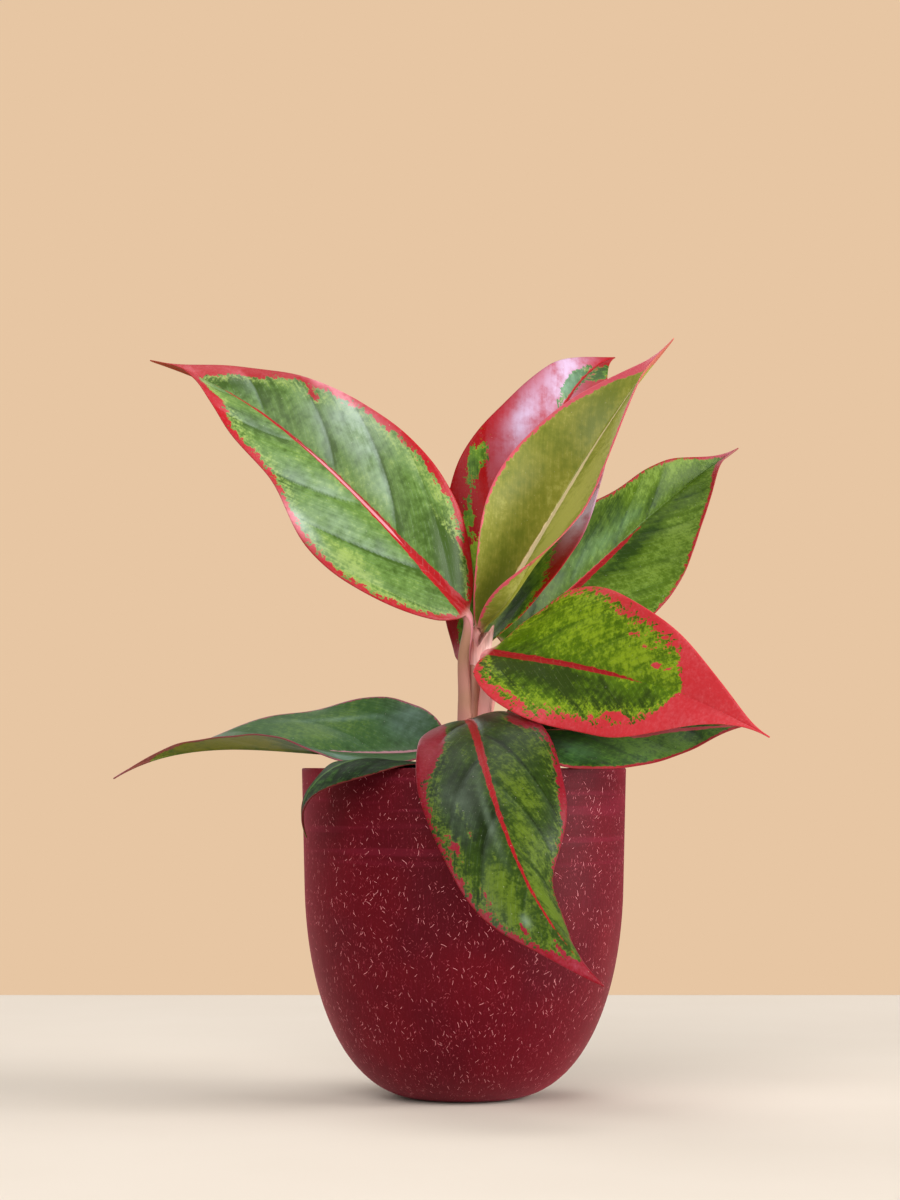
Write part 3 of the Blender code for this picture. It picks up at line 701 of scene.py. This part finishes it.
def leaf_skin(name, look):
    """Living leaf under a thin waxy skin: satin green flesh, red where the margin and midrib
    lack green, in a boundary that breaks up into islands and is fringed with bright specks."""
    material, node, shader = new_material(name)
    dark, middle, bright, pale, back, crimson, pink, vein, petiole = look.colours.split()
    lay, red, rib, core, tone, bloom, under, stalk = (
        node(FIELD, attribute_name=key)
        for key in ("lay", "red", "rib", "core", "tone", "bloom", "under", "stalk"))
    place = node(FIELD, out="Vector", attribute_name="leaf_place")
    parts = node(SPLIT, place).node.outputs
    # streaks lie along the side veins, three times as long as they are broad
    slanted = node(JOIN, lay, node(TIMES, parts[0], 0.3), parts[2])
    streak = node(NOISE, slanted, per(3.4), 5, 0.6)
    cloud, blotch, mottle, grain, fleck = (
        node(NOISE, place, per(size), detail, roughness) for size, detail, roughness in
        ((36, 2, 0.55), (10, 6, 0.6), (3.2, 4, 0.6), (1.2, 3, 0.6), (0.7, 2, 0.5)))
    fine = node(JOIN, streak, mottle, grain)
    broad = node(JOIN, blotch, mottle, grain)

    # the green: dark, middle and bright by a mixture of streaks, mottling and broad clouds, pushed lighter or
    # darker by the tone zones and darkened by painted shade along the vein creases
    depth = node(SHARES, node(JOIN, streak, mottle, cloud), (0.2, 0.32, 0.48))
    depth = node(TIMES_PLUS, tone, 0.13, depth)
    speckled = node(TIMES_PLUS, grain, 0.24, depth)
    green = node(MIX, node(RANGE, depth, 0.36, 0.52), dark, middle)
    green = node(MIX, node(RANGE, speckled, 0.61, 0.77), green, bright)

    # the red zone: its depth in millimetres, pushed about by streaks, blotches, mottling and grain
    push = node(TIMES_PLUS, streak, 0.26, node(SHARES, broad, (0.2, 0.28, 0.26)))
    push = node(TIMES_PLUS, node(MINUS, push, 0.5), 14 * look.ragged, red)
    fringe = node(TIMES, node(RANGE, push, -5.5 * look.mottle - 0.6, -0.3),
                  node(RANGE, node(SHARES, fine, (0.35, 0.25, 0.4)), 0.42, 0.58))
    fringe = node(TIMES, fringe, min(1, 0.3 + look.mottle))
    green = node(MIX, fringe, green, bright)

    # painted silvery sheen where the quilting turns, and painted pink sheen where it lies on the red
    drift = node(RANGE, node(SHARES, node(JOIN, streak, blotch, mottle), (0.2, 0.6, 0.2)), 0.26, 0.6)
    bloom = node(TIMES, bloom, drift, use_clamp=True)
    green = node(MIX, node(TIMES, bloom, 0.75), green, pale)
    blush = node(RANGE, node(SHARES, node(JOIN, cloud, mottle, grain), (0.4, 0.25, 0.35)), 0.44, 0.64)
    rosy = node(TIMES_PLUS, blush, look.dusty, bloom, use_clamp=True)
    crimson = node(MIX, rosy, crimson, pink)
    red_share = node(RANGE, push, -0.2, 0.2)
    flesh = node(MIX, red_share, green, crimson)

    # the midrib, its edge a little uneven, with a pale line along it where it has one
    uneven = node(TIMES_PLUS, node(MINUS, mottle, 0.5), 1.6, rib)
    vein = node(MIX, node(RANGE, core, -0.25, 0.2), vein, pink)
    flesh = node(MIX, node(RANGE, uneven, -0.15, 0.2), flesh, vein)

    # pale lines 3.2 mm apart, the fine side veins between the strong ones
    beat = node(FRACTION, node(TIMES, lay, per(3.2)))
    beat = node(ABSOLUTE, node(MINUS, beat, 0.5))
    line = node(TIMES, node(RANGE, beat, 0.12, 0), node(RANGE, mottle, 0.42, 0.62))
    shown = node(TIMES, line, node(RANGE, push, 0.2, -1, 0, 0.1))
    flesh = node(MIX, shown, flesh, pale)
    # painted glints: a little of the light that catches on single cells, painted as pale specks
    painted_glints = node(TIMES, node(RANGE, fleck, 0.7, 0.78), 0.3)
    flesh = node(MIX, painted_glints, flesh, "F0E6DC")

    # the lower face is paler and duller, and the red shows through it
    back = node(MIX, node(RANGE, depth, 0.4, 0.65), back, middle)
    back = node(MIX, node(TIMES, red_share, 0.75), back, crimson)
    flesh = node(MIX, under, flesh, back)
    petiole = node(MIX, node(RANGE, cloud, 0.35, 0.65), petiole, pink)
    flesh = node(MIX, stalk, flesh, petiole)
    relief = node(BUMP, 0.4, 0.0004, node(SHARES, node(JOIN, grain, line, mottle), (0.45, -0.2, 0.5)))
    waxy = node(RANGE, under, 0, 1, 1, 0.15, interpolation_type="LINEAR")
    return finish(material, shader, flesh, relief, (
        look.gloss, node(TIMES, waxy, look.shine), node(TIMES, waxy, 0.5 * look.shine), 0.35))


# The planter's fibres, one to a cell: cell, length and thickness in millimetres, the share that
# show, where the pattern starts, and how strongly they show
FIBRES = (
    (2.4, 1.3, 0.09, 0.28, 0, 1.8),
    (3.6, 1.75, 0.09, 0.26, 3.1, 2),
    (1.5, 0.95, 0.085, 0.35, 7.7, 1.35),
    (1, 0.65, 0.08, 0.4, 5.3, 0.6),
)


def fibre_pot():
    """Matte moulded plastic filled with plant fibre: burgundy with a faint pink sheen, and short
    pale pink fibres in its skin, most of them steep, about 0.1 mm thick and 0.3 to 2.4 mm long,
    in loose drifts. Only a few lie bare and bright, and the others shine through faintly. The
    mould leaves fine upright streaks and, below the rim, faint level rings."""
    material, node, shader = new_material("moulded_fibre_plastic")
    place = node(FIELD, out="Vector", attribute_name="wall_place")
    solid = node(PLACE)
    drifts = node(NOISE, place, per(14), 3, 0.5)

    marks = 0
    for cell, length, thickness, share, seed, strength in FIBRES:
        moved = node(VECTOR, place, (seed, 0.37 * seed, 0), operation="ADD")
        cells = node(VORONOI, moved, per(cell)).node.outputs
        local = node(VECTOR, moved, cells["Position"], operation="SUBTRACT")
        draw = node(SPLIT, cells["Color"]).node.outputs
        angle = node(TIMES_PLUS, draw[0], 2.3, math.pi / 2 - 1.15)
        lengthwise, sideways, _ = node(SPLIT, node(TURN, local, angle)).node.outputs
        bow = node(TIMES_PLUS, node(TIMES, lengthwise, lengthwise), 90, sideways)
        reach = node(TIMES_PLUS, draw[1], length * MM / 2, 0.2 * length * MM)
        past = node(MINUS, node(ABSOLUTE, lengthwise), reach)
        ends = node(RANGE, past, 0.00015, -0.00015)
        sides = node(RANGE, node(ABSOLUTE, bow), thickness * MM * 0.8, thickness * MM * 0.3)
        chance = node(TIMES_PLUS, drifts, 0.8, draw[2])
        there = node(RANGE, chance, 1.42 - share, 1.5 - share)
        bare = node(TIMES_PLUS, node(POWER, draw[1], 3), strength, 0.14 * strength)
        fibre = node(TIMES, node(TIMES, ends, sides), node(TIMES, there, bare))
        marks = node(HIGHER, marks, fibre)

    cloud = node(NOISE, solid, per(30), 4, 0.5)
    grit = node(NOISE, solid, per(0.7), 2, 0.5)
    drawn = node(NOISE, node(STRETCH, place, (1, 0.12, 1)), per(0.9), 3, 0.5)
    rings = node(NOISE, node(STRETCH, place, (0.04, 1, 1)), per(4), 2, 0.5)
    near_rim = node(RANGE, node(SPLIT, solid).node.outputs[2], 0.078, 0.094)
    body = node(MIX, node(RANGE, cloud, 0.35, 0.68), "500210", "5C0311")
    worn = node(TIMES, node(RANGE, rings, 0.5, 0.66), near_rim)
    worn = node(HIGHER, node(RANGE, drawn, 0.52, 0.72, 0, 0.6), worn)
    body = node(MIX, node(TIMES, worn, 0.28), body, "801C34")
    body = node(MIX, marks, body, "E06070")
    body = node(MIX, node(RANGE, marks, 0.35, 1.2), body, "FFACB0")
    height = node(SHARES, node(JOIN, drawn, grit, node(TIMES, rings, near_rim)), (0.5, 0.35, 2.4))
    return finish(material, shader, body, node(BUMP, 0.2, 0.0004, height),
                  (0.5, 0.1, 0, 0, 0.21, 0.5, "FF5A74"))


def damp_mix():
    """Damp peat and bark: dark brown and dull, each crumb and chip a little different."""
    material, node, shader = new_material("damp_potting_mix")
    solid = node(PLACE)
    lumps = node(NOISE, solid, per(2.8), 5, 0.6)
    kinds = node(NOISE, solid, per(7), 2, 0.5)
    brown = node(MIX, node(RANGE, lumps, 0.35, 0.7), "1A110B", "4A3423")
    brown = node(MIX, node(RANGE, kinds, 0.5, 0.72), brown, "6A4A30")
    return finish(material, shader, brown, node(BUMP, 0.6, 0.001, lumps), (0.9, 0.3))


def sheath_skin(name, pale, blushed):
    """Living stem: pink sheaths, satin, with fine lengthwise fibres 0.7 mm apart and a
    brownish blush."""
    material, node, shader = new_material(name)
    solid = node(PLACE)
    fibres = node(NOISE, node(STRETCH, solid, (per(0.7), per(0.7), per(25))), 1, 3, 0.5)
    cloud = node(NOISE, solid, per(14), 2, 0.5)
    pink = node(MIX, node(RANGE, cloud, 0.4, 0.65), pale, blushed)
    lined = node(TIMES, node(RANGE, fibres, 0.45, 0.7), 0.45)
    pink = node(MIX, lined, pink, "8E4A3C")
    return finish(material, shader, pink, node(BUMP, 0.3, 0.0002, fibres), (0.42, 0.35))


# ---- planter, mix and stem

def outer_wall(inset=0.0):
    """The planter's outline, foot to rim: a cubic Bezier curve for the round bottom, then a
    nearly straight wall. An inset moves it inwards, square to the curve."""
    radius, height = SHOULDER
    flare = (RIM_RADIUS - radius) / (POT_HEIGHT - height)
    handles = np.array([(FOOT_RADIUS, 0), (FOOT_RADIUS + FOOT_PULL, 0),
                        (radius - flare * SHOULDER_PULL, height - SHOULDER_PULL), (radius, height)])
    curve = cubic(np.linspace(0, 1, 61)[:, None], *handles)
    slope = np.gradient(curve, axis=0)
    slope[0], slope[-1] = (1.0, 0.0), (flare, 1.0)
    slope /= np.linalg.norm(slope, axis=1, keepdims=True)
    curve = curve + inset * np.column_stack([-slope[:, 1], slope[:, 0]])
    up = np.linspace(0, 1, 24)[1:, None]
    top = np.array([(RIM_RADIUS - inset, POT_HEIGHT - RIM_EDGE)])
    return np.concatenate([curve, curve[-1] + up * (top - curve[-1])])


def lining(inset, floor, top):
    """The wall moved inwards, from a flat floor up to a level top."""
    wall = outer_wall(inset)
    edges = np.interp([floor, top], wall[:, 1], wall[:, 0])
    between = wall[(wall[:, 1] > floor + 0.5) & (wall[:, 1] < top - 0.5)]
    return np.concatenate([[(edges[0], floor)], between, [(edges[1], top)]])


def revolve(section, turn):
    """Points of a solid of revolution: the outline's radius swept round Z. Its first and last
    points lie close to the axis, where a small strip of faces closes it."""
    return polar(section[:, :1], turn, section[:, 1:])[:, ::-1]


def make_pot():
    """The planter's shell, with its two rim edges rounded as quarter circles."""
    quarter = np.linspace(0, math.pi / 2, 7)[1:]
    inside = lining(WALL, FLOOR, POT_HEIGHT - RIM_EDGE)[::-1]
    outer_edge = np.column_stack([RIM_RADIUS - RIM_EDGE + RIM_EDGE * np.cos(quarter),
                                  POT_HEIGHT - RIM_EDGE + RIM_EDGE * np.sin(quarter)])
    inner_edge = np.column_stack([inside[0, 0] + RIM_EDGE - RIM_EDGE * np.sin(quarter),
                                  POT_HEIGHT - RIM_EDGE + RIM_EDGE * np.cos(quarter)])
    section = np.concatenate([[(NEAR_AXIS, 0)], outer_wall(), outer_edge,
                              [(inside[0, 0] + RIM_EDGE, POT_HEIGHT)], inner_edge, inside[1:],
                              [(NEAR_AXIS, FLOOR)]])
    turn = full_turn(180)
    mesh = skin("planter", revolve(section, turn))
    run = np.concatenate([[0], np.cumsum(np.linalg.norm(np.diff(section, axis=0), axis=1))])[:, None]
    place = np.stack([turn[::-1] * RIM_RADIUS * 0.98 + 0 * run, run + 0 * turn, 0 * run * turn], axis=-1)
    store(mesh, "wall_place", place.reshape(-1, 3) * MM)
    show("pot_fine", mesh, fibre_pot(), "burgundy_pot", "pot")


def make_soil():
    """Potting mix: a turned solid inside the planter, whose rough top is the sum of three
    straight random waves of each of eight lengths, with crumbs and bark chips half sunk in it.
    A chip is a ball of five rings, pushed about at random, flattened and turned."""
    rng = np.random.default_rng(5)
    waves = [(wave, *rng.uniform(0, 2 * math.pi, 2))
             for wave in (30, 19, 12, 8, 5.5, 4, 3, 2.4) for _ in range(3)]

    def lift(x, y):
        """Height of the rough top over the level that it is laid on, 2 mm at most."""
        return np.minimum(0.55 * sum(wave[0] ** 0.8 / 22 * swell(x, y, *wave) for wave in waves), 2)

    clearance, level = 0.3, SOIL_LEVEL - 0.8
    side = lining(WALL + clearance, FLOOR + clearance, SOIL_LEVEL - 1.5)
    reach = side[-1, 0] - 0.3
    radii = np.linspace(reach, NEAR_AXIS, 70)
    top = np.column_stack([radii, level + 0 * radii])
    section = np.concatenate([[(NEAR_AXIS, FLOOR + clearance)], side, top])
    bed = revolve(section, full_turn(200))
    bed[-len(top):, :, 2] += lift(bed[-len(top):, :, 0], bed[-len(top):, :, 1])

    count, rings, sides = 900, 5, 8
    far = (reach - 3) * np.sqrt(rng.uniform(0.012, 1, count))
    bearing = rng.uniform(0, 2 * math.pi, count)
    x, y = far * np.cos(bearing), far * np.sin(bearing)
    size = 0.7 + 2.6 * rng.uniform(0, 1, count) ** 3
    tilt = np.linspace(0.25, math.pi - 0.25, rings)
    ball = revolve(np.column_stack([np.sin(tilt), np.cos(tilt)]), full_turn(sides))
    ball = ball * rng.uniform(0.75, 1.2, (count, rings, sides, 1))
    spans = [rng.uniform(low, high, count) for low, high in ((0.8, 1.6), (0.6, 1), (0.3, 0.7))]
    ball *= (size[:, None] * np.column_stack(spans))[:, None, None, :]
    lying = np.column_stack([np.cos(bearing * 7), np.sin(bearing * 7), rng.uniform(-0.4, 0.4, count)])
    leaning = rng.normal(0, 1, (count, 3)) * (1, 1, 0.3)
    axes = np.linalg.qr(np.stack([lying, leaning, rng.normal(0, 1, (count, 3))], axis=1))[0]
    axes *= np.sign(np.linalg.det(axes))[:, None, None]
    chips = np.einsum("nij,nrcj->nrci", axes, ball)
    chips += np.column_stack([x, y, level + lift(x, y) + 0.1 * size])[:, None, None, :]
    chips[..., 2] = np.minimum(chips[..., 2], SOIL_LEVEL + 3.5)

    quads = weave(*bed.shape[:2])
    starts = bed[..., 0].size + rings * sides * np.arange(count)[:, None, None]
    more = starts + weave(rings, sides)[None]
    mesh = mesh_from("mix", np.concatenate([bed.reshape(-1, 3), chips.reshape(-1, 3)]),
                     np.concatenate([quads, more.reshape(-1, 4)]))
    show("soil_fine", mesh, damp_mix(), "potting_mix", "soil")


def make_stem():
    """The stem in its innermost sheaths, from its foot in the mix to its top. Its radius swells
    by a bell curve at each old leaf scar."""
    z = np.linspace(STEM_LOW, STEM_HIGH, 110)
    turn = full_turn(72)
    scars = np.exp(-((z[:, None] - SOIL_LEVEL - np.array([4, 11, 20])) / 0.9) ** 2).sum(axis=1)
    radius = (stem_radius(z) + 0.3 * scars)[:, None] + 0.12 * np.sin(3 * turn + 0.05 * z[:, None])
    top = np.clip((z[:, None] - STEM_HIGH + 4) / 4, 0, 1)
    radius = radius * np.sqrt(1 - 0.96 * top ** 2)
    grid = stem_axis(z)[:, None] + polar(radius, turn, 0)
    mesh = skin("sheathed_stem", grid[:, ::-1])
    show("stem_fine", mesh, sheath_skin("satin_old_sheath", "AC7760", "985A46"), "pink_stem", "stem")


def make_open_sheath():
    """The pale sheath that the newest leaf rises from: a thin tube round the stem's top, which
    leans and widens upwards. Its rim dips to a V in front, rises in even curves to a lip on each
    side, and lies low at the back."""
    turn = full_turn(120)
    apart = np.abs((turn - math.radians(-93) + math.pi) % (2 * math.pi) - math.pi)
    lift = np.interp(apart, np.radians([0, 25, 62, 80, 110, 180]), [0.0, 0.42, 0.9, 0.96, 0.8, 0.6])
    low, dip, rise = 136.0, 165.5, 9.0
    way = np.linspace(0, 1, 40)[:, None]
    z = low + way * (dip + rise * lift[None, :] - low)
    drift = np.clip((z - 148) / 26, 0, 1) ** 1.4
    axis_x = stem_axis(z)[..., 0] + 1.6 * drift
    radius = np.interp(z, [low, low + 6, 156, 166, 176], [3.6, 4.9, 4.8, 5.0, 5.4])
    shell = []
    for inset in (0.0, 0.5):
        r = radius - inset * np.minimum(1, 4 * (1 - way) + 0.3)
        shell.append(np.stack([axis_x + r * np.cos(turn), 0.8 * r * np.sin(turn), z], axis=-1))
    grid = np.concatenate([shell[0], shell[1][::-1]])
    mesh = skin("open_sheath", np.concatenate([grid, grid[:1]])[:, ::-1], caps=False)
    show("open_sheath", mesh, sheath_skin("satin_young_sheath", "F0C2B8", "DA988C"), "pink_stem", "stem")


# ---- stage

def make_stage():
    """A plain pale table top, 1.7 m by 1 m, with rounded edges: each level is a superellipse, in
    which the 24th powers of x / 1.7 r and of y / r add up to 1."""
    section = np.array([(0.5, -20), (497, -20), (500, -17), (500, -3), (499.2, -0.8),
                        (497, 0), (490, 0), (0.5, 0)])
    r, z = section[:, :1], section[:, 1:]
    turn = full_turn(180)
    x, y = (np.sign(reach) * np.abs(reach) ** (1 / 12) for reach in (np.cos(turn), np.sin(turn)))
    mesh = skin("table", np.stack([1.7 * r * x, r * y, z + 0 * turn], axis=-1)[:, ::-1])
    material, node, shader = new_material("matte_pale_paint")
    place = node(PLACE)
    cloud = node(NOISE, place, per(90), 2, 0.5)
    paint = node(MIX, cloud, "E0D4C6", "E5DACD")
    relief = node(BUMP, 0.1, 0.0002, node(NOISE, place, per(1.5), 2, 0.5))
    finish(material, shader, paint, relief, (0.9, 0.1))
    mesh.materials.append(material)
    floor = put("floor", mesh)


def make_camera():
    """A long lens level with the planter's rim, tilted up a little."""
    lens = bpy.data.cameras.new("camera")
    lens.lens, lens.sensor_width, lens.clip_end = LENS, FILM, 20.0
    camera = put("camera", lens)
    camera.location = (CAMERA_X, CAMERA_Y, POT_HEIGHT * MM)
    camera.rotation_euler = (math.radians(90 + TILT), 0, 0)
    bpy.context.scene.camera = camera


def make_lights():
    """Four large soft lamps in a dim even surround, before a plain warm backdrop. The
    backdrop's colour is what shows behind the part, and the surround is what lights it."""
    for name, place, aim, size, power in LAMPS:
        data = bpy.data.lights.new(name, "AREA")
        data.size, data.energy = size, power
        lamp = put(name, data)
        lamp.location = place
        lamp.rotation_euler = (Vector(aim) - Vector(place)).to_track_quat("-Z", "Y").to_euler()
        lamp.visible_camera = False
    world = bpy.data.worlds.new("studio")
    world.use_nodes = True
    node = partial(add, world.node_tree)
    surround = node(dict(kind="Background"), "F6EEE4", SURROUND)
    backdrop = node(dict(kind="Background"), "E7C6A3", 1)
    seen = node(dict(kind="LightPath", out="Is Camera Ray"))
    feed(world.node_tree.nodes["World Output"].inputs["Surface"],
         node(dict(kind="MixShader"), seen, surround, backdrop))
    bpy.context.scene.world = world
    bpy.context.scene.view_settings.view_transform = "Standard"


make_stage()
make_camera()
make_lights()
make_pot()
make_soil()
make_stem()
make_open_sheath()
for number, leaf in enumerate(LEAVES):
    make_leaf(leaf, LOOKS[leaf.name], seed=number + 1)
